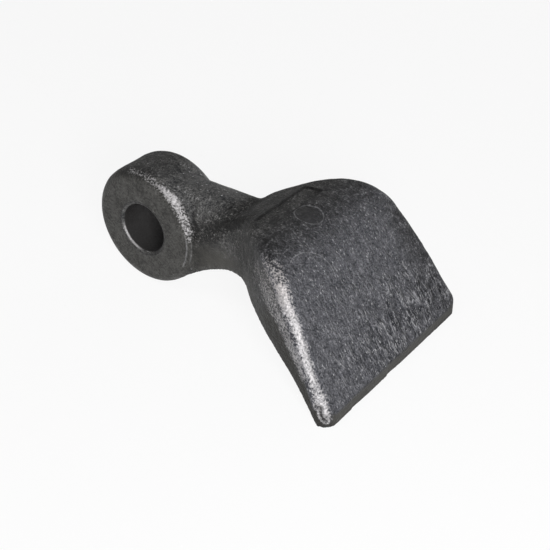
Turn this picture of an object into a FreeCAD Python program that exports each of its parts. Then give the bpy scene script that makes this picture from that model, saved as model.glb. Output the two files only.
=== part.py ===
import FreeCAD, Part
import math
import os

# Shredder hammer: one drop forging with an eye, a short round neck and a bent, flaring blade.
# Frame: origin in the middle of the bore, X from the eye to the cutting edge, Y along the bore,
# Z up. The hammer stands like a bridge on the round of its eye and the sole behind its edge.
# A reach is measured from the bore axis along X, a height from the bore axis along Z.

# Eye
boreDiameter = 20.5
boreChamfer = 1.0
eyeDiameter = 49.3
eyeWidth = 24.5
eyeRimRadius = 5.1

# Neck: a bar with a round top that runs from the eye into the blade
neckWidth = 18.7
neckHeight = 21.8         # top of the neck
neckFlat = 1.6            # width left flat along its top, between the round edges

# Back of the blade, seen from the side
riseReach = 17.9          # the back starts to rise here, at the height of the bore axis
riseAngle = 36.1          # degrees
humpRadius = 38.0         # between the rise and the plateau
plateauTilt = 4.1         # degrees that the plateau falls towards the eye
browReach = 79.7          # the plateau would meet the striking face here
browHeight = 28.7
browRadius = 22.3
faceCrown = 1.1           # the face bends midway and stands this far proud of a straight line
faceRadius = 160.0
edgeReach = 110.6         # cutting edge
edgeThickness = 4.7       # height of the trimmed end face
soleLength = 4.8          # flat underside behind the cutting edge

# Arch under neck and blade, from the round of the eye to the sole
archHeight = -2.2         # its highest point

# Outline seen from above: the web under the neck, then half of the blade
webWidth = 20.5
flareReach = 47.6         # the web starts to flare
flareRadius = 28.2
shoulderReach = 72.2      # the flare would meet the side here
shoulderHalf = 32.4       # half width there
shoulderRadius = 83.0
edgeHalf = 45.9           # where the sides would meet the cutting edge
cornerRadius = 5.0        # corners at the cutting edge

# Edges between the back and the trimmed outline
upperEdgeRadius = 3.8

# Marks of the die on the plateau
pinMarkDiameter = 10.4    # ejector pin
pinMarkDepth = 0.35
pinMarkSetback = 6.8      # behind the brow
pinMarkOffset = -2.6      # beside the middle
fieldLength = 30.0        # sunk field along the bore, left bare
fieldWidth = 8.5
fieldDepth = 0.6
fieldCornerRadius = 1.5
fieldSetback = 16.1       # behind the brow
fieldOffset = -1.5

eyeRadius = eyeDiameter / 2
floorLevel = -eyeRadius

# Stock that the forms are cut from, well past them on every side
deepLevel = 3 * floorLevel
topLevel = 2 * browHeight
stockWidth = 4 * edgeHalf
overlong = edgeReach + eyeRadius

# Two points nearer than this are one
samePlace = 1e-6


def flat(x, y):
    return FreeCAD.Vector(x, y, 0)


def linesMeet(pointA, angleA, pointB, angleB):
    # Where two lines in the XY plane meet, each given by a point and an angle in degrees.
    aheadA = flat(math.cos(math.radians(angleA)), math.sin(math.radians(angleA)))
    aheadB = flat(math.cos(math.radians(angleB)), math.sin(math.radians(angleB)))
    along = (pointB - pointA).cross(aheadB).z / aheadA.cross(aheadB).z
    return pointA + aheadA * along


def roundedPath(corners):
    # Lines in the XY plane through corners (point, radius). A corner with a radius becomes an
    # arc, as large as that radius or as its two runs and their other corners leave room for.
    runs = [(after[0] - before[0]).Length for before, after in zip(corners, corners[1:])]
    insets = [0]
    halves = [0]
    for before, corner, after in zip(corners, corners[1:], corners[2:]):
        half = (before[0] - corner[0]).getAngle(after[0] - corner[0]) / 2
        halves.append(half)
        insets.append(corner[1] / math.tan(half))
    insets.append(0)
    room = [1 if run >= a + b else run / (a + b) for run, a, b in zip(runs, insets, insets[1:])]
    edges = []
    start = corners[0][0]
    for i in range(1, len(corners) - 1):
        tip = corners[i][0]
        inset = insets[i] * min(room[i - 1], room[i])
        back = (corners[i - 1][0] - tip).normalize()
        ahead = (corners[i + 1][0] - tip).normalize()
        end = tip + back * inset
        if (end - start).Length > samePlace:
            edges.append(Part.LineSegment(start, end).toShape())
        start = tip + ahead * inset
        if inset > 0:
            radius = inset * math.tan(halves[i])
            middle = tip + (back + ahead).normalize() * (radius / math.sin(halves[i]) - radius)
            edges.append(Part.Arc(end, middle, start).toShape())
    edges.append(Part.LineSegment(start, corners[-1][0]).toShape())
    return edges


def prismFromSide(edges, width):
    # A closed side view, drawn in XY, turned up into XZ and extruded along Y about the middle.
    face = Part.Face(Part.Wire(edges))
    face.rotate(FreeCAD.Vector(0, 0, 0), FreeCAD.Vector(1, 0, 0), 90)
    face.translate(FreeCAD.Vector(0, width / 2, 0))
    return face.extrude(FreeCAD.Vector(0, -width, 0))


def prismFromAbove(edges, bottom, top):
    face = Part.Face(Part.Wire(edges))
    face.translate(FreeCAD.Vector(0, 0, bottom))
    return face.extrude(FreeCAD.Vector(0, 0, top - bottom))


def makeEye():
    start = FreeCAD.Vector(0, -eyeWidth / 2, 0)
    eye = Part.makeCylinder(eyeRadius, eyeWidth, start, FreeCAD.Vector(0, 1, 0))
    rims = [edge for edge in eye.Edges if edge.Curve.TypeId == "Part::GeomCircle"]
    return eye.makeFillet(eyeRimRadius, rims)


def makeBore():
    length = eyeWidth + 2 * boreChamfer
    start = FreeCAD.Vector(0, -length / 2, 0)
    bore = Part.makeCylinder(boreDiameter / 2, length, start, FreeCAD.Vector(0, 1, 0))
    for side in (-1, 1):
        mouth = FreeCAD.Vector(0, side * eyeWidth / 2, 0)
        inward = FreeCAD.Vector(0, -side, 0)
        wide = boreDiameter / 2 + boreChamfer
        bore = bore.fuse(Part.makeCone(wide, boreDiameter / 2, boreChamfer, mouth, inward))
    return bore


def outlinePrism(reach, half, radius):
    # The outline seen from above, out to a given reach.
    side = [
        (flat(0, webWidth / 2), 0),
        (flat(flareReach, webWidth / 2), flareRadius),
        (flat(shoulderReach, shoulderHalf), shoulderRadius),
        (flat(reach, half), radius),
    ]
    other = [(flat(point.x, -point.y), rounding) for point, rounding in reversed(side)]
    start = [(flat(0, 0), 0)]
    return prismFromAbove(roundedPath(start + side + other + start), deepLevel, topLevel)


def normalAtMiddle(edge, face):
    middle = edge.valueAt((edge.FirstParameter + edge.LastParameter) / 2)
    u, v = face.Surface.parameter(middle)
    return face.normalAt(u, v)


def flankEdges(body):
    # Edges where the upright flanks meet the back, whose normals have no Y.
    chosen = []
    for edge in body.Edges:
        normals = [normalAtMiddle(edge, face) for face in body.ancestorsOfType(edge, Part.Face)]
        across = [n for n in normals if n.z > 0.1 and abs(n.y) < 0.01]
        upright = [n for n in normals if abs(n.z) < 0.01 and abs(n.y) > 0.1]
        if across and upright:
            chosen.append(edge)
    return chosen


def makeForgedBack():
    # The blade as the upper die leaves it: back and flanks with their round edges, still longer
    # and deeper than the trimmed blade.
    rise = flat(riseReach, 0)
    brow = flat(browReach, browHeight)
    edge = flat(edgeReach, floorLevel + edgeThickness)
    hump = linesMeet(rise, riseAngle, brow, plateauTilt)
    face = (edge - brow).normalize()
    bend = (brow + edge) / 2 + flat(-face.y, face.x) * faceCrown
    fall = (edge - bend).normalize()
    end = edge + fall * ((overlong - edgeReach) / fall.x)
    inside = linesMeet(rise, riseAngle, flat(0, floorLevel), 90)
    back = [
        (flat(inside.x, deepLevel), 0),
        (inside, 0),
        (hump, humpRadius),
        (brow, browRadius),
        (bend, faceRadius),
        (end, 0),
        (flat(end.x, deepLevel), 0),
        (flat(inside.x, deepLevel), 0),
    ]
    body = prismFromSide(roundedPath(back), stockWidth)
    flare = (edgeHalf - shoulderHalf) / (edgeReach - shoulderReach)
    body = body.common(outlinePrism(overlong, edgeHalf + flare * (overlong - edgeReach), 0))
    return body.makeFillet(upperEdgeRadius, flankEdges(body))


def archedStock():
    # Everything above the underside: the round of the eye, the arch and the flat sole. The arch
    # is the circle that touches the round of the eye and runs out at the sole.
    archDrop = archHeight - floorLevel
    soleReach = edgeReach - soleLength
    archReach = soleReach / 2 + archDrop * eyeRadius / soleReach
    archRadius = ((soleReach - archReach) ** 2 + archDrop ** 2) / (2 * archDrop)
    crest = flat(archReach, archHeight)
    heel = flat(archReach, archHeight - archRadius).normalize() * eyeRadius
    inside = flat(0, floorLevel + eyeRimRadius)
    underside = [
        Part.LineSegment(inside, heel).toShape(),
        Part.Arc(heel, crest, flat(soleReach, floorLevel)).toShape(),
        Part.LineSegment(flat(soleReach, floorLevel), flat(overlong, floorLevel)).toShape(),
        Part.LineSegment(flat(overlong, floorLevel), flat(overlong, topLevel)).toShape(),
        Part.LineSegment(flat(overlong, topLevel), flat(0, topLevel)).toShape(),
        Part.LineSegment(flat(0, topLevel), inside).toShape(),
    ]
    return prismFromSide(underside, stockWidth)


def makeNeck():
    # The round-topped bar, out to where the rise of the back has swallowed it.
    neckRadius = (neckWidth - neckFlat) / 2
    reach = riseReach + (neckHeight + neckRadius) / math.tan(math.radians(riseAngle))
    start = FreeCAD.Vector(0, -neckWidth / 2, deepLevel)
    bar = Part.makeBox(reach, neckWidth, neckHeight - deepLevel, start)
    top = [e for e in bar.Edges if e.BoundBox.XLength > neckWidth / 2 and e.BoundBox.ZMin > 0]
    return bar.makeFillet(neckRadius, top).common(archedStock())


def makeBlade():
    # The forged back, arched underneath and trimmed to the outline.
    trimmed = makeForgedBack().common(outlinePrism(edgeReach, edgeHalf, cornerRadius))
    return trimmed.common(archedStock())


def sunkInto(body, prism, depth):
    # The part of a prism that lies above the body's own surface, lowered by a depth.
    lowered = body.copy()
    lowered.translate(FreeCAD.Vector(0, 0, -depth))
    return prism.cut(lowered)


def makePinMark(blade):
    start = FreeCAD.Vector(browReach - pinMarkSetback, pinMarkOffset, 0)
    pin = Part.makeCylinder(pinMarkDiameter / 2, topLevel, start)
    return sunkInto(blade, pin, pinMarkDepth)


def makeField(blade):
    near = browReach - fieldSetback - fieldWidth / 2
    far = browReach - fieldSetback + fieldWidth / 2
    left = fieldOffset - fieldLength / 2
    right = fieldOffset + fieldLength / 2
    start = [(flat((near + far) / 2, left), 0)]
    corners = [flat(near, left), flat(near, right), flat(far, right), flat(far, left)]
    rounded = [(corner, fieldCornerRadius) for corner in corners]
    return sunkInto(blade, prismFromAbove(roundedPath(start + rounded + start), 0, topLevel), fieldDepth)


eye = makeEye()
blade = makeBlade()
forging = eye.fuse([makeNeck(), blade]).cut(makeBore())
forging = forging.cut(makePinMark(blade))
forging = forging.cut(makeField(blade))

os.makedirs("parts", exist_ok=True)
forging.exportStep("parts/hammer.step")
print("valid", forging.isValid(), "solids", len(forging.Solids), "cm3", round(forging.Volume / 1000, 1))
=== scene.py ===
import math
from functools import reduce

import bmesh
import bpy
import numpy as np
from mathutils import Matrix, Vector, noise
from mathutils.bvhtree import BVHTree
from mathutils.kdtree import KDTree


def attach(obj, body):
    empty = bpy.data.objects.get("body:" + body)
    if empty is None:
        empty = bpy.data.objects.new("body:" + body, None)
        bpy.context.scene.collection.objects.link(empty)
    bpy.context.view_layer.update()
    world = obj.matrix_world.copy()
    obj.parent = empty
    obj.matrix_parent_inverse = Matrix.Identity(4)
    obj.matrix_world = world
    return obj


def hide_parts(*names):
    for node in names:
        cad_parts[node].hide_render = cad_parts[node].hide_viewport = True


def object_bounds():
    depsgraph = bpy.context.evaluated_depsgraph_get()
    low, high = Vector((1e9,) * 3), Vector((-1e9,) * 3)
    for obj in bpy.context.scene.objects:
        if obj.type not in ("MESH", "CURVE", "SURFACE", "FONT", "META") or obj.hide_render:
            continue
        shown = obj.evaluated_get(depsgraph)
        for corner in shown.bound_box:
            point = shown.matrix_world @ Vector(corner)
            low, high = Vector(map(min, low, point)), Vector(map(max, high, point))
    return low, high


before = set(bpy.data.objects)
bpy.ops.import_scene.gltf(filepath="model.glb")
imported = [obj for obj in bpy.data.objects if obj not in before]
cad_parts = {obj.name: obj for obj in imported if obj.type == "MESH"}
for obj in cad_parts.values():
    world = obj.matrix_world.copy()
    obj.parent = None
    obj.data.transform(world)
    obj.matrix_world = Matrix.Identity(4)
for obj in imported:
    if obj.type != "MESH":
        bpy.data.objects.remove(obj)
cadBox = [list(corner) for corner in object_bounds()]
print("frame loaded")

mm = 0.001
scene = bpy.context.scene
scene.view_settings.view_transform = "Standard"


# Node trees

class Wire:
    # A socket that does maths: each operator adds a Math node to its tree.
    def __init__(self, tree, socket):
        self.tree = tree
        self.socket = socket

    def output(self, name):
        # Another output of the same node
        return Wire(self.tree, self.socket.node.outputs[name])

    def maths(self, operation, *values):
        return self.tree.add("ShaderNodeMath", {"operation": operation}, dict(enumerate(values)))

    def __add__(self, other):
        return self.maths("ADD", self, other)

    def __radd__(self, other):
        return self.maths("ADD", other, self)

    def __sub__(self, other):
        return self.maths("SUBTRACT", self, other)

    def __rsub__(self, other):
        return self.maths("SUBTRACT", other, self)

    def __mul__(self, other):
        return self.maths("MULTIPLY", self, other)

    def __rmul__(self, other):
        return self.maths("MULTIPLY", other, self)

    def __truediv__(self, other):
        return self.maths("DIVIDE", self, other)

    def __pow__(self, other):
        return self.maths("POWER", self, other)

    def larger(self, other):
        return self.maths("MAXIMUM", self, other)

    def smaller(self, other):
        return self.maths("MINIMUM", self, other)

    def size(self):
        return self.maths("ABSOLUTE", self)

    def step(self, low, high):
        # 0 below low, 1 above high, smooth between; runs the other way when low is the higher one
        sockets = {"Value": self, "From Min": min(low, high), "From Max": max(low, high)}
        ramp = self.tree.add("ShaderNodeMapRange", {"interpolation_type": "SMOOTHSTEP"}, sockets)
        return 1 - ramp if low > high else ramp


class Tree:
    # Adds nodes to a material or a world.
    def __init__(self, owner):
        owner.use_nodes = True
        self.owner = owner
        self.nodes = owner.node_tree.nodes
        self.links = owner.node_tree.links
        self.nodes.clear()

    def add(self, kind, settings=None, sockets=None, output=0):
        node = self.nodes.new(kind)
        for name, value in (settings or {}).items():
            setattr(node, name, value)
        for name, value in (sockets or {}).items():
            if isinstance(value, Wire):
                self.links.new(value.socket, node.inputs[name])
            else:
                node.inputs[name].default_value = value
        return Wire(self, node.outputs[output]) if node.outputs else node

    def blend(self, factor, first, second, kind="MIX"):
        # A Mix node of colours, whose sockets are known by number; it keeps the factor between 0 and 1
        settings = {"data_type": "RGBA", "blend_type": kind}
        first, second = ((*c, 1) if isinstance(c, tuple) else c for c in (first, second))
        return self.add("ShaderNodeMix", settings, {0: factor, 6: first, 7: second}, 2)

    def attribute(self, name):
        return self.add("ShaderNodeAttribute", {"attribute_name": name}, output="Fac")

    def surface(self, shader):
        owner = "World" if isinstance(self.owner, bpy.types.World) else "Material"
        self.add("ShaderNodeOutput" + owner, sockets={"Surface": shader})


# Camera

cameraValues = {
    "azimuth": 37.25,        # degrees
    "elevation": 33.48,
    "roll": -0.69,
    "distance": 417.8,       # mm from the point looked at
    "aim": (50.0, 0.0, 0.0),
    "right": 4.61,           # mm that the camera stands beside the line to that point
    "up": -7.30,
    "focalPixels": 1111.4,   # focal length in the photograph's pixels
    "framePixels": 550,
    "sensor": 36.0,
}


def makeCamera(v):
    azimuth, elevation, roll = (math.radians(v[k]) for k in ("azimuth", "elevation", "roll"))
    back = Vector((math.sin(azimuth) * math.cos(elevation), -math.cos(azimuth) * math.cos(elevation),
                   math.sin(elevation)))
    level = Vector((math.cos(azimuth), math.sin(azimuth), 0))
    upright = back.cross(level)
    right = level * math.cos(roll) + upright * math.sin(roll)
    up = upright * math.cos(roll) - level * math.sin(roll)
    data = bpy.data.cameras.new("camera")
    data.sensor_width = v["sensor"]
    data.lens = v["focalPixels"] / v["framePixels"] * v["sensor"]
    data.clip_start = 0.01
    camera = bpy.data.objects.new("camera", data)
    scene.collection.objects.link(camera)
    place = Vector(v["aim"]) + right * v["right"] + up * v["up"] + back * v["distance"]
    camera.matrix_world = Matrix.Translation(place * mm) @ Matrix((right, up, back)).transposed().to_4x4()
    scene.camera = camera


makeCamera(cameraValues)
print("camera placed")


# Light and floor

lightValues = {
    "aim": (45.0, 0.0, 0.0),   # mm
    "lamps": (                 # name, azimuth, elevation, distance mm, size mm, watts
        ("key", 48.0, 22.0, 700.0, 260.0, 5.2),
        ("top", -30.0, 60.0, 800.0, 500.0, 1.0),
        ("fill", 178.0, 12.0, 900.0, 600.0, 1.4),
    ),
    "ambient": 0.16,
    "floorColour": (0.90, 0.90, 0.90),
    "floorGlow": 0.88,         # share of floor and backdrop that shows as plain white
    "floorGap": 0.05,          # mm between floor and hammer
    "floorProfile": (          # mm from the middle, and up
        (0, 0), (1000, 0), (1250, 40), (1450, 160), (1580, 400), (1620, 900),
    ),
}


def makeLamps(v):
    aim = Vector(v["aim"])
    for name, azimuth, elevation, distance, size, watts in v["lamps"]:
        a, e = math.radians(azimuth), math.radians(elevation)
        away = Vector((math.sin(a) * math.cos(e), -math.cos(a) * math.cos(e), math.sin(e)))
        data = bpy.data.lights.new(name, "AREA")
        data.shape = "DISK"
        data.size = size * mm
        data.energy = watts
        lamp = bpy.data.objects.new(name, data)
        lamp.location = (aim + away * distance) * mm
        lamp.rotation_euler = away.to_track_quat("Z", "Y").to_euler()
        scene.collection.objects.link(lamp)


def seenPlainly(tree):
    # 1 for what the camera sees itself, or in gloss or glass
    path = tree.add("ShaderNodeLightPath")
    rays = [path.output(name) for name in ("Is Camera Ray", "Is Glossy Ray", "Is Transmission Ray")]
    return reduce(Wire.larger, rays)


def makeWorld(v):
    world = bpy.data.worlds.new("studio")
    scene.world = world
    tree = Tree(world)
    tree.surface(tree.add("ShaderNodeBackground", sockets={"Color": (1, 1, 1, 1), "Strength": v["ambient"]}))


def makeFloor(v, lowest):
    # A round floor just under the lowest point, which turns up into a low backdrop all round
    mesh = bpy.data.meshes.new("floor")
    work = bmesh.new()
    level = lowest - v["floorGap"] * mm
    points = [work.verts.new((across * mm, 0, level + up * mm)) for across, up in v["floorProfile"]]
    edges = [work.edges.new(pair) for pair in zip(points, points[1:])]
    bmesh.ops.spin(work, geom=points + edges, cent=(0, 0, 0), axis=(0, 0, 1), angle=math.tau, steps=96)
    bmesh.ops.remove_doubles(work, verts=work.verts, dist=1e-5)
    bmesh.ops.recalc_face_normals(work, faces=work.faces)
    for face in work.faces:
        face.smooth = True
    work.to_mesh(mesh)
    work.free()
    floor = bpy.data.objects.new("floor", mesh)
    scene.collection.objects.link(floor)
    material = bpy.data.materials.new("pale_floor")
    tree = Tree(material)
    matt = tree.add("ShaderNodeBsdfDiffuse", sockets={"Color": (*v["floorColour"], 1)})
    white = tree.add("ShaderNodeEmission", sockets={"Color": (1, 1, 1, 1), "Strength": 1.0})
    share = seenPlainly(tree) * v["floorGlow"]
    tree.surface(tree.add("ShaderNodeMixShader", sockets={0: share, 1: matt, 2: white}))
    mesh.materials.append(material)


makeLamps(lightValues)
makeWorld(lightValues)
makeFloor(lightValues, cadBox[0][2])
print("light and floor made")


# Skin of the forging: a finer mesh laid over the CAD solid

skinValues = {
    "voxel": 0.56,             # mm between corners
    "evenPasses": 2,           # how often the corners are spread evenly before they are fitted
    "sharpAngle": 20.0,        # degrees between the normals of two faces that meet in an edge
    "edgeStep": 0.25,          # mm between the samples on an edge
    "snapReach": 0.30,         # mm, corners this near an edge move onto it
    "hollowReach": 2.6,        # mm beside an inner corner of eye and neck that is worked round
    "hollowPasses": 14,
    "hollowPull": 0.6,         # share of the way to the neighbours' mean, in each pass
    "hollowEnd": 56.0,         # mm along X, the marks on the plateau lie beyond
    "edgeReach": 0.7,          # mm beside an outer edge that is dulled
    "edgePasses": 2,
    "edgePull": 0.4,
}


def arrayOf(items, name, width, count):
    values = np.empty(count * width, np.float32)
    items.foreach_get(name, values)
    return values.reshape(-1, width).astype(float)


def places(mesh):
    return arrayOf(mesh.vertices, "co", 3, len(mesh.vertices))


def setPlaces(mesh, values):
    mesh.vertices.foreach_set("co", values.astype(np.float32).ravel())
    mesh.update()


def cadTriangles(node):
    # Corner places in mm and the CAD's own smooth normals, three of each to a triangle
    mesh = node.data
    mesh.calc_loop_triangles()
    count = len(mesh.loop_triangles)
    corners = np.empty(count * 3, np.int32)
    loops = np.empty(count * 3, np.int32)
    mesh.loop_triangles.foreach_get("vertices", corners)
    mesh.loop_triangles.foreach_get("loops", loops)
    normals = arrayOf(mesh.corner_normals, "vector", 3, len(mesh.corner_normals))
    points = places(mesh) / mm
    return points[corners].reshape(-1, 3, 3), normals[loops].reshape(-1, 3, 3)


def sharpEdges(points, normals, angle):
    # Edges where the faces meet at an angle: end points, and whether the corner is an inner one
    sides = {}
    for t in range(len(points)):
        for i in range(3):
            j = (i + 1) % 3
            keys = [tuple(np.round(points[t, k], 3)) for k in (i, j)]
            sides.setdefault(tuple(sorted(keys)), []).append((t, i, j))
    limit = math.cos(math.radians(angle))
    ends, hollow = [], []
    for pair in sides.values():
        if len(pair) != 2:
            continue
        (t, i, j), (s, k, l) = pair
        middles = [normals[t, i] + normals[t, j], normals[s, k] + normals[s, l]]
        middles = [n / np.linalg.norm(n) for n in middles]
        if middles[0] @ middles[1] < limit:
            ends.append((points[t, i], points[t, j]))
            hollow.append((points[s].mean(0) - points[t].mean(0)) @ middles[0] > 0)
    return np.array(ends), np.array(hollow)


def nearEdges(spots, ends, reach, step):
    # How far each spot is from the edges, and the nearest point on them where it is within reach
    lengths = np.linalg.norm(ends[:, 1] - ends[:, 0], axis=1)
    counts = np.maximum(1, np.ceil(lengths / step)).astype(int)
    owners = np.repeat(np.arange(len(ends)), counts)
    tree = KDTree(len(owners))
    shares = np.concatenate([(np.arange(n) + 0.5) / n for n in counts])
    samples = ends[owners, 0] + (ends[owners, 1] - ends[owners, 0]) * shares[:, None]
    for i, sample in enumerate(samples):
        tree.insert(sample, i)
    tree.balance()
    nearest = spots.copy()
    away = np.zeros(len(spots))
    for i, spot in enumerate(spots):
        _, index, away[i] = tree.find(spot)
        if away[i] < reach + step:
            a, b = ends[owners[index]]
            share = np.clip((spot - a) @ (b - a) / max((b - a) @ (b - a), 1e-12), 0, 1)
            nearest[i] = a + (b - a) * share
            away[i] = np.linalg.norm(nearest[i] - spot)
    return away, nearest


def ontoCad(spots, points, normals):
    # The nearest place on the CAD surface, curved between the facets' corners, and its normal
    facets = np.arange(len(points) * 3).reshape(-1, 3)
    tree = BVHTree.FromPolygons(points.reshape(-1, 3).tolist(), facets.tolist())
    hits = [tree.find_nearest(spot) for spot in spots.tolist()]
    which = np.array([hit[2] for hit in hits])
    flat = np.array([hit[0] for hit in hits])
    a, b, c = (points[which, i] for i in range(3))
    ab, ac, ap = b - a, c - a, flat - a
    d00, d01, d11 = (ab * ab).sum(1), (ab * ac).sum(1), (ac * ac).sum(1)
    d20, d21 = (ap * ab).sum(1), (ap * ac).sum(1)
    scale = np.maximum(d00 * d11 - d01 * d01, 1e-12)
    v = np.clip((d11 * d20 - d01 * d21) / scale, 0, 1)
    w = np.clip((d00 * d21 - d01 * d20) / scale, 0, 1)
    shares = np.stack([1 - v - w, v, w], 1)
    curved = flat.copy()
    normal = np.zeros_like(flat)
    for i in range(3):
        n = normals[which, i]
        drop = ((flat - points[which, i]) * n).sum(1)
        curved -= 0.5 * (shares[:, i] * drop)[:, None] * n
        normal += shares[:, i:i + 1] * n
    return curved, normal / np.linalg.norm(normal, axis=1)[:, None]


def edgePairs(mesh):
    pairs = np.empty(len(mesh.edges) * 2, np.int32)
    mesh.edges.foreach_get("vertices", pairs)
    return pairs.reshape(-1, 2)


def averaged(values, pairs):
    # Mean of each corner's neighbours
    total = np.zeros_like(values)
    count = np.zeros(len(values))
    for here, there in ((0, 1), (1, 0)):
        np.add.at(total, pairs[:, here], values[pairs[:, there]])
        np.add.at(count, pairs[:, here], 1)
    return total / np.maximum(count, 1)[:, None]


def remeshed(node, voxel):
    mesh = bpy.data.meshes.new("forging")
    work = bmesh.new()
    work.from_mesh(node.data)
    bmesh.ops.remove_doubles(work, verts=work.verts, dist=1e-6)
    work.to_mesh(mesh)
    work.free()
    mesh.materials.clear()
    piece = bpy.data.objects.new("remesh", mesh)
    scene.collection.objects.link(piece)
    modifier = piece.modifiers.new("voxels", "REMESH")
    modifier.mode = "VOXEL"
    modifier.voxel_size = voxel * mm
    modifier.use_smooth_shade = True
    graph = bpy.context.evaluated_depsgraph_get()
    result = bpy.data.meshes.new_from_object(piece.evaluated_get(graph), depsgraph=graph)
    bpy.data.objects.remove(piece)
    bpy.data.meshes.remove(mesh)
    return result


def smoothstep(values, low, high):
    t = np.clip((values - low) / (high - low), 0, 1)
    return t * t * (3 - 2 * t)


def fitSkin(mesh, node, v):
    # Lays the mesh on the CAD surface; returns the places in mm, the CAD normals and how far each
    # place is from an inner corner of eye and neck
    points, normals = cadTriangles(node)
    ends, hollow = sharpEdges(points, normals, v["sharpAngle"])
    pairs = edgePairs(mesh)
    spots, _ = ontoCad(places(mesh) / mm, points, normals)
    for _ in range(v["evenPasses"]):
        spots, _ = ontoCad((spots + averaged(spots, pairs)) / 2, points, normals)
    away, nearest = nearEdges(spots, ends, v["snapReach"], v["edgeStep"])
    spots = np.where((away < v["snapReach"])[:, None], nearest, spots)
    _, normal = ontoCad(spots, points, normals)
    joins = hollow & (ends[:, :, 0].max(1) < v["hollowEnd"])
    inner, _ = nearEdges(spots, ends[joins], v["hollowReach"], v["edgeStep"])
    weight = 1 - smoothstep(inner, 0.4 * v["hollowReach"], v["hollowReach"])
    for _ in range(v["hollowPasses"]):
        spots += v["hollowPull"] * weight[:, None] * (averaged(spots, pairs) - spots)
    outer, _ = nearEdges(spots, ends[~hollow], v["edgeReach"], v["edgeStep"])
    weight = 1 - smoothstep(outer, 0.5 * v["edgeReach"], v["edgeReach"])
    for _ in range(v["edgePasses"]):
        spots += v["edgePull"] * weight[:, None] * (averaged(spots, pairs) - spots)
    return spots, normal, inner


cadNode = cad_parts["hammer"]
skinMesh = remeshed(cadNode, skinValues["voxel"])
print("skin remeshed,", len(skinMesh.polygons), "faces")
skinSpots, skinNormals, skinInner = fitSkin(skinMesh, cadNode, skinValues)
skinPairs = edgePairs(skinMesh)
print("skin laid on the solid")


# What the forging went through: scale, trimming and wear, with painted shade and painted highlights, as
# masks and small relief

formValues = {
    "boreRadius": 10.25,       # mm, as in the solid
    "chamferReach": 1.3,       # mm past the bore, to the end of its chamfer
    "eyeRadius": 24.65,
    "rimFrom": 7.85,           # mm from the middle plane, where the rims of the eye begin
    "webHalf": 10.25,
    "endReach": 110.6,
    "slack": 0.3,              # mm that a mask reaches past its face
    "faceDown": (0.536, 0.0, -0.844),    # the way down the striking face
    "browReach": 79.7,
    "neckEnd": (38, 48),       # mm along X: the blade begins,
    "bladeFull": (66, 80),     # and has its full trimmed flanks
    "facing": (0.2, 0.7),      # part of a normal that makes a face look up
    "spreadPasses": 30,        # how far the trimmed look of the neck runs out
    "farShare": 0.35,          # how much wear and painted highlight the side away from the camera gets against the near one
    "lap": (                   # middle of the folded lip
        (105.2, -43.5, -16.6), (106.9, -43.0, -16.7), (107.1, -43.6, -18.4), (107.6, -43.4, -20.5),
        (108.9, -42.6, -21.9),
    ),
    # strips of wear with a painted highlight, and the crease with painted shade: X, Y and Z along the
    # middle, half width, how strong it is
    "edgeWearAndHighlight": (
        (75.7, 32.1, 23.5, 2.9, 0.14), (79.3, 33.6, 22.1, 3.9, 0.42), (82.5, 34.6, 20.3, 3.3, 0.60),
        (85.1, 35.4, 17.8, 2.9, 0.85), (86.6, 36.3, 14.9, 2.7, 1.00), (89.0, 36.9, 12.2, 2.2, 1.00),
        (91.4, 37.3, 9.4, 2.0, 0.94), (93.2, 38.1, 6.6, 1.8, 1.00), (95.2, 38.6, 3.6, 1.7, 1.00),
        (98.6, 40.0, -2.3, 1.6, 1.00), (102.1, 41.3, -8.3, 1.5, 1.00), (104.0, 41.7, -11.3, 1.9, 0.76),
        (106.0, 42.2, -14.3, 2.6, 0.90), (108.0, 42.6, -17.3, 2.0, 0.90), (109.4, 42.1, -20.9, 1.4, 0.80),
    ),
    "flankWearAndHighlight": (
        (71.2, 29.9, 15.4, 4.6, 0.22), (77.2, 33.3, 13.5, 5.4, 0.50), (79.9, 34.6, 11.2, 5.0, 0.54),
        (83.6, 36.3, 8.8, 4.2, 0.54), (86.5, 37.4, 6.6, 3.4, 0.64), (89.3, 38.4, 3.0, 3.0, 0.56),
        (91.5, 39.2, 0.3, 2.9, 0.66), (95.4, 40.6, -3.4, 2.6, 0.74), (98.7, 41.7, -8.7, 1.8, 0.50),
    ),
    "rimWearAndHighlight": (
        (-5.4, 9.9, 23.2, 1.6, 0.30), (-1.5, 10.3, 23.6, 1.2, 0.36), (3.9, 10.6, 23.0, 1.1, 0.46),
        (8.5, 10.8, 21.5, 1.2, 0.58), (12.6, 10.5, 19.7, 1.5, 1.00), (16.3, 10.3, 17.0, 1.8, 1.00),
        (19.5, 10.3, 13.3, 2.1, 0.72), (21.3, 10.5, 9.6, 1.9, 0.64), (22.6, 10.6, 5.7, 1.6, 0.60),
        (23.3, 10.4, 2.7, 1.3, 0.50),
    ),
    "crease": (
        (29.0, 10.0, 8.5, 2.4, 0.80), (35.6, 9.6, 11.4, 3.2, 1.20), (41.0, 10.2, 15.0, 4.0, 1.40),
        (51.2, 13.9, 21.9, 3.2, 1.35), (58.0, 13.0, 26.0, 2.2, 0.90),
    ),
}
reliefValues = {
    "wave": 0.14,              # mm, broad unevenness of the forged skin
    "waveSize": 9.0,
    "lump": 0.07,
    "lumpSize": 3.2,
    "trimWave": 0.05,          # mm, on the sheared faces
    "streak": 0.34,            # mm, scoring down the striking face
    "streakSize": (6.0, 2.2),  # mm along and across it
    "pit": 0.22,
    "pitSize": 2.6,
    "steps": ((-29.4, 0.25), (-6.9, 0.30)),     # where the sheared edge jumps, mm across and deep
    "stepRun": 11.0,           # mm in which it comes back
    "lapDepth": 0.55,
    "lapWidth": 0.5,
}


def fieldOf(spots, size, seed, octaves=2):
    # Smooth noise, about -1 to 1, with features of the given size (one number or one per axis)
    scaled = spots / np.array(size) + np.array((seed * 17.3, seed * -9.1, seed * 5.7))
    return np.array([noise.fractal(Vector(place), 0.9, 2.0, octaves) for place in scaled.tolist()])


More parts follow.
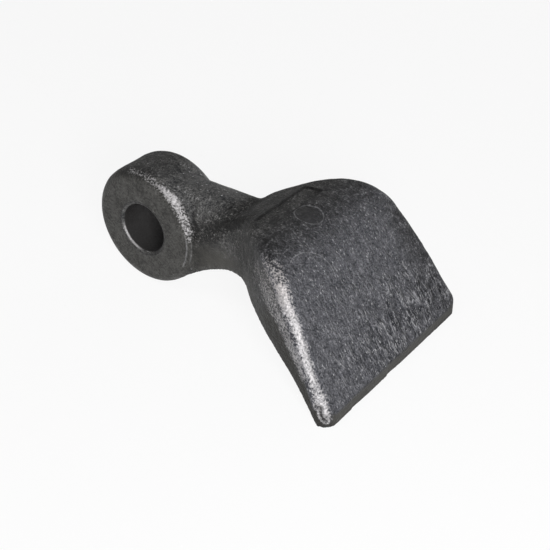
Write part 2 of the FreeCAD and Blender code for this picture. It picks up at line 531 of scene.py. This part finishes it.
def distanceToPath(spots, path):
    gaps = np.full(len(spots), 99.0)
    for a, b in zip(path, path[1:]):
        a, b = np.array(a), np.array(b)
        share = np.clip((spots - a) @ (b - a) / ((b - a) @ (b - a)), 0, 1)
        gaps = np.minimum(gaps, np.linalg.norm(spots - a - share[:, None] * (b - a), axis=1))
    return gaps


def stripAlong(spots, path, farShare):
    # 1 in the middle of a strip, fading past its half width; the far side gets only the given share of it
    folded = np.column_stack((spots[:, 0], np.abs(spots[:, 1]), spots[:, 2]))
    wearAndHighlight = np.zeros(len(spots))
    for first, second in zip(path, path[1:]):
        a, b = np.array(first), np.array(second)
        run = b[:3] - a[:3]
        share = np.clip((folded - a[:3]) @ run / (run @ run), 0, 1)
        gap = np.linalg.norm(folded - a[:3] - share[:, None] * run, axis=1)
        width, level = (a[i] + (b[i] - a[i]) * share for i in (3, 4))
        wearAndHighlight = np.maximum(wearAndHighlight, level * (1 - smoothstep(gap / width, 0.3, 1.5)))
    return np.where(spots[:, 1] > 0, farShare, 1) * wearAndHighlight


def softened(mask, pairs, passes, share):
    for _ in range(passes):
        mask = (1 - share) * mask + share * averaged(mask[:, None], pairs)[:, 0]
    return mask


def paintedShadeOf(spots, normals, inner, f):
    # Painted shade: in the hollows and along the crease, on tops that face up, on the shoulders' sides, on
    # the back and on the far side
    x, y, z = spots.T
    across, upward = np.abs(normals[:, 1]), smoothstep(normals[:, 2], *f["facing"])
    brow = f["browReach"]
    pastNeck, pastBlade = smoothstep(x, *f["neckEnd"]), smoothstep(x, *f["bladeFull"])
    hollow = (1 - smoothstep(inner, 1.0, 10.0)) * (x > 24)
    eyeTop = 0.7 * (1 - smoothstep(x, 2, 14)) * upward
    plateau = 0.75 * smoothstep(x, 40, 48) * (1 - smoothstep(x, brow - 5, brow + 9)) * upward
    shoulder = 0.65 * smoothstep(across, 0.3, 0.6) * smoothstep(z, -4, 12) * pastNeck * (1 - pastBlade)
    farFace = (0.9 - 0.6 * smoothstep(x, 92, 106)) * smoothstep(y, 18, 38) * smoothstep(x, 74, 88)
    crease = stripAlong(spots, f["crease"], 1)
    return np.maximum.reduce((hollow, eyeTop, plateau, shoulder, farFace, crease))


def readForm(spots, normals, inner, pairs, f):
    # Masks 0 to 1 on the corners of the skin, and how much of each corner is as it was forged
    x, y, z = spots.T
    across, upward = np.abs(normals[:, 1]), normals[:, 2]
    radial = np.hypot(x, z)
    side = np.abs(y)
    masks = {}
    bore = radial < f["boreRadius"] + f["chamferReach"]
    eyeFace = (across > 0.1) & (radial < f["eyeRadius"] + f["slack"]) & ~bore & (side > f["rimFrom"])
    flank = (np.abs(upward) < 0.05) & (x > 20) & ~bore & (side > f["webHalf"] - f["slack"])
    end = (normals[:, 0] > 0.97) & (x > f["endReach"] - 0.2)
    overTrim = smoothstep(z, 1.0, 6.5) * (1 - smoothstep(x, *f["bladeFull"]))     # scale runs down here
    masks["eyeFace"] = eyeFace * smoothstep(across, 0.1, 0.75)
    masks["trimmed"] = np.maximum(flank * (1 - overTrim), end)
    masks["bore"] = bore.astype(float)
    # wear with a painted highlight along the blade's edge, its flank and the eye's rim
    wear = [stripAlong(spots, f[name], f["farShare"]) for name in ("edgeWearAndHighlight", "flankWearAndHighlight", "rimWearAndHighlight")]
    masks["wearAndHighlight"] = np.maximum.reduce(wear)
    # painted shade, a little less on the trimmed faces
    masks["sooty"] = paintedShadeOf(spots, normals, inner, f) * (1 - 0.3 * masks["trimmed"])
    masks = {name: softened(mask, pairs, 2, 0.5) for name, mask in masks.items()}
    spread = softened(masks["trimmed"], pairs, f["spreadPasses"], 1) - masks["trimmed"]
    masks["trimmed"] += spread * (1 - smoothstep(x, 62, 84))

    gap = distanceToPath(spots, f["lap"])
    lip = smoothstep(gap, 0.4, 0.7) * (1 - smoothstep(gap, 0.9, 1.5))
    masks["crack"] = 1 - smoothstep(gap, 0.15, 0.65)
    # the lip beside the lap's crack joins the wear with a painted highlight
    masks["wearAndHighlight"] = np.maximum(masks["wearAndHighlight"], lip)
    forged = np.clip(1 - masks["trimmed"] - masks["eyeFace"] - masks["bore"], 0, 1)
    down = spots @ np.array(f["faceDown"])
    brow = f["browReach"]
    onFace = smoothstep(normals[:, 0], 0.6, 0.8) * smoothstep(x, brow - 2, brow + 6)
    lower = smoothstep(y, -38, 8) * smoothstep(down, 42, 68)
    masks["streak"] = onFace * (0.16 + 0.84 * lower) * forged * (1 - masks["wearAndHighlight"])
    return masks, forged


def relief(spots, masks, forged, f, v):
    # Height above the solid, in mm
    height = forged * v["wave"] * fieldOf(spots, v["waveSize"], 1)
    height += forged * v["lump"] * fieldOf(spots, v["lumpSize"], 2)
    height += (1 - forged) * v["trimWave"] * fieldOf(spots, v["waveSize"], 3, 1)
    along, across = v["streakSize"]
    height += masks["streak"] * v["streak"] * fieldOf(spots, (along, across, along), 4, 3)
    pits = fieldOf(spots, v["pitSize"], 5)
    height -= forged * v["pit"] * smoothstep(pits, 0.45, 0.9) * (0.4 + masks["streak"])
    x, y, _ = spots.T
    end = x > f["endReach"] - f["slack"]
    for where, depth in v["steps"]:
        edge = smoothstep(y, where - 0.3, where + 0.3)
        height -= depth * end * edge * (1 - smoothstep(y, where + 1, where + 1 + v["stepRun"]))
    gap = distanceToPath(spots, f["lap"])
    height -= v["lapDepth"] * (1 - smoothstep(gap, 0.3 * v["lapWidth"], 1.6 * v["lapWidth"]))
    return height


def raiseSkin(mesh, spots, height, box):
    # Moves each corner outward by its height, but not past the solid's own box
    setPlaces(mesh, spots * mm)
    outward = arrayOf(mesh.vertex_normals, "vector", 3, len(mesh.vertices))
    low, high = (np.array(corner) / mm for corner in box)
    setPlaces(mesh, np.clip(spots + outward * height[:, None], low, high) * mm)
    mesh.polygons.foreach_set("use_smooth", np.ones(len(mesh.polygons), bool))


def storeMasks(mesh, masks):
    for name, values in masks.items():
        layer = mesh.attributes.new(name, "FLOAT", "POINT")
        layer.data.foreach_set("value", values.astype(np.float32))


formMasks, forgedShare = readForm(skinSpots, skinNormals, skinInner, skinPairs, formValues)
skinHeight = relief(skinSpots, formMasks, forgedShare, formValues, reliefValues)
raiseSkin(skinMesh, skinSpots, skinHeight, cadBox)
storeMasks(skinMesh, formMasks)
skin = bpy.data.objects.new("forging", skinMesh)
scene.collection.objects.link(skin)
print("relief made")


# Forged steel

steelValues = {
    "scaleDark": (0.020, 0.021, 0.023),
    "scaleMid": (0.132, 0.130, 0.127),
    "faceTint": (0.945, 0.960, 1.085),
    "scaleLight": (0.410, 0.408, 0.422),
    "shadeColour": (0.0080, 0.0078, 0.0076),
    "shadeTint": (1.0, 0.99, 0.97),
    "soot": 0.20,              # share of light that a place in painted shade keeps
    "sheared": (0.054, 0.052, 0.047),
    "shearedDark": (0.018, 0.017, 0.015),
    "eyeFace": (0.054, 0.053, 0.049),
    "wearAndHighlight": (0.37, 0.36, 0.365),
    "warmWearAndHighlight": (0.38, 0.358, 0.352),
    "boreDark": (0.020, 0.019, 0.019),
    "microSize": 0.6,          # mm
    "grainSize": 0.95,
    "lumpSize": 2.8,
    "blotchSize": 7.0,
    "coarseStreakSize": (5.0, 2.0),      # along and across the striking face
    "streakSize": (2.6, 1.1),
    "glintSize": (2.4, 0.5),
    "fleckSize": (1.4, 0.7),
    "patchSize": 5.0,          # mm, stretches of the face that are scored more or less
    "bladeFrom": (44.0, 54.0),     # mm along X, from neck to blade
    "faceFrom": (62.0, 80.0),      # from the back to the striking face
    "bladeEnd": (109.8, 110.4),
    "marksUp": (20.0, 22.0),       # mm up, above which the marks of the die lie
    "pinMark": (72.9, -2.6, 5.2),          # middle and radius, mm
    "field": (63.6, -1.5, 4.25, 15.0),     # middle and half sizes, mm
    # radius round the bore, lowest and highest Z, how strong it is
    "webArcs": ((22.2, -10.3, 2.3, 0.5), (23.8, -8.4, 0.6, 0.4)),
    # middle (Y and down the face), radius, end, how strong it is
    "faceArcs": ((-22.7, 35.5, 11.46, 38.9, 0.7),),
    # from and to (Y and down the face), how strong it is
    "scratches": ((-29.0, 60.9, -26.8, 65.3, 0.8),),
    "chamferRadius": (11.2, 11.45),        # mm, where the chamfer of the bore ends
    "chamferSide": (11.1, 11.3),           # mm from the middle plane, where it begins
    "highlightWay": (-0.72, -0.69),         # along X and Z, where the chamfer gets a painted highlight
}


def dieMarks(x, y, z, v):
    # The ring and the disc of an ejector pin, and the border of the sunk field
    markX, markY, markRadius = v["pinMark"]
    gap = ((x - markX) ** 2 + (y - markY) ** 2) ** 0.5
    top = z.step(*v["marksUp"])
    ring = (gap - markRadius).size().step(0.34, 0.1) * top
    disc = gap.step(markRadius + 0.2, markRadius - 0.4) * top
    fieldX, fieldY, halfX, halfY = v["field"]
    edgeGap = ((x - fieldX).size() - halfX).larger((y - fieldY).size() - halfY)
    groove = (edgeGap + 0.2).size().step(0.9, 0.2) * top
    return ring, disc, groove


def struckLines(x, y, z, v, faceDown):
    # Thin arcs and a scratch, where other hammers have struck
    radial = (x ** 2 + z ** 2) ** 0.5
    lines = []
    for radius, lowest, highest, level in v["webArcs"]:
        arc = (radial - radius).size().step(0.42, 0.12) * z.step(lowest - 1, lowest + 1)
        lines.append(arc * z.step(highest + 1, highest - 1) * x.step(15.0, 16.0) * level)
    downX, _, downZ = faceDown
    down = x * downX + z * downZ
    for middleY, middleDown, radius, lowest, level in v["faceArcs"]:
        away = ((y - middleY) ** 2 + (down - middleDown) ** 2) ** 0.5
        arc = (away - radius).size().step(0.28, 0.06) * y.step(middleY - 9, middleY + 3)
        end = down.step(lowest + 1, lowest - 1)
        lines.append(arc * end * x.step(78.0, 80.0) * z.step(4.0, 8.0) * level)
    for startY, startDown, endY, endDown, level in v["scratches"]:
        runY, runDown = endY - startY, endDown - startDown
        share = ((y - startY) * runY + (down - startDown) * runDown) / (runY ** 2 + runDown ** 2)
        share = share.larger(0.0).smaller(1.0)
        away = ((y - startY - share * runY) ** 2 + (down - startDown - share * runDown) ** 2) ** 0.5
        lines.append(away.step(0.38, 0.1) * x.step(95.0, 97.0) * level)
    return reduce(Wire.larger, lines)


def boreEdge(x, y, z, v):
    # The chamfer of the bore, and the stretch of it that gets a painted highlight
    radial = (x ** 2 + z ** 2) ** 0.5
    end, mouth = v["chamferRadius"]
    chamfer = radial.step(mouth, end) * y.size().step(*v["chamferSide"])
    wayX, wayZ = v["highlightWay"]
    stretch = ((x * wayX + z * wayZ) / radial).step(0.70, 0.97)
    return chamfer, radial.step(10.3, 10.5) * radial.step(11.0, 10.8) * stretch


def makeSteel(v, maskNames, faceDown):
    material = bpy.data.materials.new("forged_steel_skin")
    tree = Tree(material)
    place = tree.add("ShaderNodeTexCoord", output="Object")
    spot = tree.add("ShaderNodeVectorMath", {"operation": "SCALE"}, {0: place, "Scale": 1 / mm})
    parts = tree.add("ShaderNodeSeparateXYZ", sockets={"Vector": spot})
    x, y, z = (parts.output(name) for name in "XYZ")
    mask = {name: tree.attribute(name) for name in maskNames}

    def moved(size, away):
        sizes = size if isinstance(size, tuple) else (size, size, size)
        aside = (away, -away, 2 * away)
        shifted = tree.add("ShaderNodeVectorMath", {"operation": "ADD"}, {0: spot, 1: aside})
        return tree.add("ShaderNodeVectorMath", {"operation": "DIVIDE"}, {0: shifted, 1: sizes})

    def grain(size, away=0.0, twist=0.0, detail=1.0, roughness=0.5):
        sockets = {"Vector": moved(size, away), "Scale": 1.0, "Detail": detail, "Roughness": roughness,
                   "Distortion": twist}
        return tree.add("ShaderNodeTexNoise", sockets=sockets)

    def downFace(size):
        along, across = size
        return (along, across, along)

    micro = grain(v["microSize"])
    fine = grain(v["grainSize"], 11.0, 0.4)
    lump = grain(v["lumpSize"], 31.0)
    blotch = grain(v["blotchSize"], 7.0, detail=3.0, roughness=0.55)
    coarse = grain(downFace(v["coarseStreakSize"]), 3.0, 1.5)
    narrow = grain(downFace(v["streakSize"]), 43.0, 1.5)
    glints = grain(downFace(v["glintSize"]), 19.0, 1.2)
    patch = (grain(v["patchSize"], 23.0) - 0.5) * 4
    sockets = {"Vector": moved(downFace(v["fleckSize"]), 5.0), "Scale": 1.0}
    fleck = tree.add("ShaderNodeTexVoronoi", sockets=sockets)
    bladeEnd = x.step(*v["bladeEnd"])
    blade = x.step(*v["bladeFrom"]) * (1 - bladeEnd)
    # wear with a painted highlight
    wearAndHighlight = mask["wearAndHighlight"]
    smooth = (mask["trimmed"] * (1 - blade * 0.4)).larger(mask["eyeFace"] * 0.7).larger(mask["bore"] * 0.9)
    smooth = smooth.larger(wearAndHighlight * 0.85)
    forged = 1 - smooth
    rough = (fine - 0.5) * 2.6 + (micro - 0.5) * 3.2

    # relief in mm
    heights = (micro * 0.45 + fine * 0.65 + lump * 0.9) * (1 - smooth * 0.75)
    heights = heights + (coarse * (2.8 + patch * 2.6) + narrow * 1.2) * mask["streak"]
    bump = tree.add("ShaderNodeBump", sockets={"Strength": 1.0, "Distance": mm, "Height": heights})

    ring, disc, groove = dieMarks(x, y, z, v)
    nicks = struckLines(x, y, z, v, faceDown)
    chamfer, chamferHighlight = boreEdge(x, y, z, v)

    # scale: darker in the pits and lighter on the crests of its relief, as painted shade and painted
    # highlight, with painted shade in the hollows
    tone = rough * 0.5 + (lump - 0.5) * 0.8 + (blotch - 0.5) * 0.8
    # the face's streaks: painted shade in their grooves and painted highlight on their ridges
    tone = tone + ((coarse - 0.48) * (2.6 + patch * 2.6) + (narrow - 0.5) * 1.2) * mask["streak"]
    # painted shade: more contrast in the grain, a darker tint and a near-black share
    sooty = mask["sooty"].smaller(1.0)
    tone = tone * (1 + sooty * 0.35) * (1 - disc * 0.6)
    scale = tree.blend(tone + 0.5, v["scaleDark"], v["scaleMid"])
    scale = tree.blend(x.step(*v["faceFrom"]), scale, v["faceTint"], "MULTIPLY")
    # painted glints: light flecks in some cells, thin light streaks down the face, and the lightest grain
    picked = fleck.output("Color").step(0.76, 0.82)     # some cells, by their own random shade
    flecks = picked * fleck.step(0.45, 0.15) * (1 - sooty * 0.8)
    paintedGlint = (glints + patch * 0.05).step(0.63, 0.69) * (0.14 + mask["streak"] * 1.1).smaller(1.0)
    light = tone.step(0.30, 1.0) * 0.55
    scale = tree.blend(light.larger(flecks * 0.75).larger(paintedGlint * 0.85), scale, v["scaleLight"])
    scale = tree.blend(sooty, scale, v["shadeTint"], "MULTIPLY")
    # the blade's trimmed flanks are painted darker, as shade on them; its end face a little darker than the
    # neck's
    sheared = tone * 0.5 + 0.72 - blade * 0.72 - bladeEnd * 0.25
    sheared = tree.blend(sheared, v["shearedDark"], v["sheared"])
    eye = tree.blend(tone * 1.6 + 0.6, v["shearedDark"], v["eyeFace"])
    colour = tree.blend(mask["trimmed"] * (1 - wearAndHighlight * 0.9), scale, sheared)
    colour = tree.blend(mask["eyeFace"] * 0.85, colour, eye)
    # painted shade: the colour goes towards near-black
    soot = mask["sooty"] * (1 - v["soot"]) - sooty * tone * 0.55
    colour = tree.blend(soot.smaller(0.95), colour, v["shadeColour"])

    # marks of the die, and of other hammers
    # a painted dark line on the border of the sunk field, as shade in its groove; the disc is a little
    # darker
    colour = tree.blend(disc * 0.12 + groove * 0.78, colour, (0.0, 0.0, 0.0))
    colour = tree.blend(ring * 0.26 * (0.3 + fine), colour, v["scaleLight"])
    colour = tree.blend(nicks * (fine * 0.8), colour, v["scaleLight"])

    # worn places with a painted highlight: bright metal, with specks of scale left in it
    bright = wearAndHighlight * 1.2 + rough * (0.95 - wearAndHighlight * 0.4) - 0.30
    bright = bright.smaller(1.0).larger(0.0) * wearAndHighlight.step(0.0, 0.2)
    # painted shade: inside the bore the colour is near-black, except on its chamfer
    colour = tree.blend(mask["bore"] * (1 - chamfer * 0.85), colour, v["boreDark"])
    # painted highlight on one stretch of the chamfer
    bright = bright.larger(chamfer * chamferHighlight * (0.75 + rough * 0.2))
    metalColour = tree.blend(z.step(8.0, 22.0) * x.step(60.0, 65.0), v["wearAndHighlight"], v["warmWearAndHighlight"])
    colour = tree.blend(bright, colour, metalColour)
    # painted shade: near-black in the lap's crack
    colour = tree.blend(mask["crack"] * 0.9, colour, v["boreDark"])
    dull = 0.56 - bright * 0.06 + rough * 0.10 - flecks * 0.15 + mask["sooty"] * 0.2
    metal = (bright * 0.6).larger(0.25 * forged * (1 - mask["sooty"] * 0.9))
    sockets = {"Base Color": colour, "Metallic": metal, "Roughness": dull, "Normal": bump,
               "Specular IOR Level": 0.25}
    tree.surface(tree.add("ShaderNodeBsdfPrincipled", sockets=sockets))
    return material


skinMesh.materials.append(makeSteel(steelValues, formMasks, formValues["faceDown"]))
print("steel made")

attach(skin, "root")
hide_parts("hammer")
